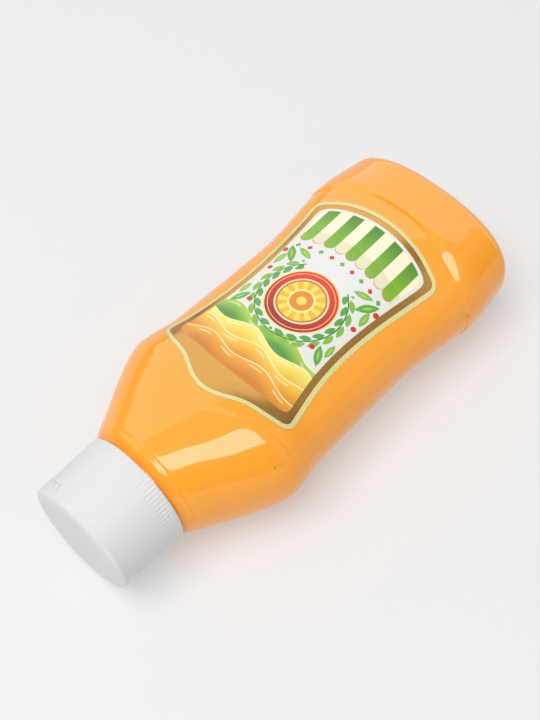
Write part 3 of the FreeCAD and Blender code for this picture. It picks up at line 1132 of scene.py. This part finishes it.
def makeLid(finish):
    bm = spunPiece(lidProfile(), cap["segments"])
    for vert in bm.verts:
        station, spot = stationOf(vert.co), aboutAxis(vert.co)
        radius, row = spot.length, round((station - lid["base"]) / lid["rowGap"])
        if radius < 1.0:  # the middle of a face
            continue
        onWall = radius > lid["wallInside"]
        if row > 0 or (onWall and row == 0):
            station, radius = lidWallPoint(row, radius, spot)
        elif onWall and station > lid["tabStart"] and lidEnd(spot)[2]:
            radius = min(radius, tabOutside(station))
        spot *= radius / spot.length
        vert.co = place(station, spot.x, spot.y)
    bmesh.ops.remove_doubles(bm, verts=bm.verts, dist=weldDistance)
    bmesh.ops.dissolve_degenerate(bm, dist=weldDistance, edges=bm.edges)
    return finished(bm, "lid_body", finish, "lid", sharpAngle=38)


def capFinish():
    finish = Finish("white_plastic")
    spot = finish.spot()
    cloud = finish.noise(spot, 40.0, 3.0)
    grain = finish.noise(spot, 1100.0)
    finish.surface(base_color=finish.mix(cloud, *cap["colours"]), roughness=0.48 + 0.08 * cloud,
                   specular_ior_level=0.3, normal=finish.bump(grain * 0.008 + cloud * 0.05),
                   subsurface_weight=0.12, subsurface_radius=(0.002, 0.002, 0.002), subsurface_scale=1.0)
    return finish.material


# Floor, lights and surroundings.
floor = {
    "radius": 4.0,  # m
    "greys": ((0.455, 0.455, 0.455, 1), (0.465, 0.465, 0.465, 1)),
    "glow": 0.36,  # it glows a little, as a light table does, which keeps the shadows faint
}


def addFloor():
    bm = bmesh.new()
    bmesh.ops.create_circle(bm, cap_ends=True, radius=floor["radius"], segments=96)
    mesh = bpy.data.meshes.new("floor")
    bm.to_mesh(mesh)
    bm.free()
    paper = bpy.data.objects.new("floor", mesh)
    bpy.context.scene.collection.objects.link(paper)
    finish = Finish("floor_paper")
    grain = finish.noise(finish.spot(), 900.0)
    finish.surface(base_color=finish.mix(grain, *floor["greys"]), roughness=0.9, specular_ior_level=0.1,
                   emission_color=(1, 1, 1, 1), emission_strength=floor["glow"])
    mesh.materials.append(finish.material)


panels = {
    # lights the scene, and is not mirrored in the bottle; sizes in m
    "key": {"towards": (-0.36, 0.01, 1.0), "distance": 2.0, "size": (1.25, 1.25), "radiance": 6.1,
            "along": (1, 0, 0), "mirrored": False},
    # only mirrored in it
    "softbox": {"towards": (-0.325, -0.46, 1.0), "distance": 1.8, "size": (1.95, 0.86), "radiance": 6.2,
                "along": (0.93, -0.36, 0), "mirrored": True},
}
studio = {
    "sky": 0.47,  # even light, not mirrored
    # what the bottle mirrors: brightness of the room's upper part, its dim sides and a bright wall
    "room": 0.55,
    "roomFade": (0.1, 0.5),
    "dim": 0.18,
    "dimSides": ((0.0, -1.0, -1.1), (-1.0, 0.0, -0.9)),  # each reaches its own way
    "dimFade": (-0.1, 0.25),
    "wall": 1.75,
    "wallSides": ((0.0, 1.0, -0.45), (0.75, 1.0, -0.395)),
    "wallFade": (-0.03, 0.05),
    "wallFoot": (0.52, 0.0, 1.0),
    "wallFootFade": (0.27, 0.31),
    # a pale screen beside the bottle's waist: along it, where it starts and ends, and how far beside it
    "screen": 0.5,
    "screenStart": (0.12, 0.26),
    "screenEnd": (0.5, 0.64),
    "screenSide": (0.55, 0.8),
}


def addPanel(name, settings):
    towards = Vector(settings["towards"]).normalized()
    data = bpy.data.lights.new(name, "AREA")
    data.shape = "RECTANGLE"
    data.size, data.size_y = settings["size"]
    data.energy = settings["radiance"] * math.pi * data.size * data.size_y
    panel = bpy.data.objects.new(name, data)
    sideways = Vector(settings["along"])
    sideways = (sideways - towards * sideways.dot(towards)).normalized()
    turn = Matrix((sideways, towards.cross(sideways), towards)).transposed().to_4x4()
    panel.matrix_world = Matrix.Translation(towards * settings["distance"]) @ turn
    panel.visible_glossy = settings["mirrored"]
    panel.visible_diffuse = not settings["mirrored"]
    bpy.context.scene.collection.objects.link(panel)


def addWorld():
    world = bpy.data.worlds.new("studio")
    world.use_nodes = True
    bpy.context.scene.world = world
    room = Board(world.node_tree)
    view = room.add("ShaderNodeTexCoord", {}, {}, "Generated")
    x, y, z = room.axes(view)

    def reaching(sides, fade):
        first, second = (room.dot(view, side) for side in sides)
        return first.most(second).between(*fade)

    dim, wallFoot = studio["dim"], room.dot(view, studio["wallFoot"])
    beside = 1 - reaching(studio["dimSides"], studio["dimFade"])
    picture = dim + (studio["room"] - dim) * z.between(*studio["roomFade"]) * beside
    wall = reaching(studio["wallSides"], studio["wallFade"]) * wallFoot.between(*studio["wallFootFade"])
    picture = picture + (studio["wall"] - picture) * wall
    screen = x.between(*studio["screenStart"]) * (1 - x.between(*studio["screenEnd"]))
    picture = picture + studio["screen"] * screen * (-y).between(*studio["screenSide"])
    mirrored = room.add("ShaderNodeLightPath", {}, {}, "Is Glossy Ray")
    strength = mirrored * picture + (1 - mirrored) * studio["sky"]
    room.put(room.nodes["Background"].inputs["Color"], (1, 1, 1, 1))
    room.put(room.nodes["Background"].inputs["Strength"], strength)


makeBottle(bottleFinish())
makeLabel("label_front_film", frontLabel, 1, frontLabelFinish(), "label_front")
makeLabel("label_back_film", backLabel, -1, backLabelFinish(), "label_back")
white = capFinish()
makeCap(white)
makeLid(white)
addFloor()
for name, settings in panels.items():
    addPanel(name, settings)
addWorld()
bpy.context.scene.view_settings.view_transform = "Standard"
print("floor and lights placed")
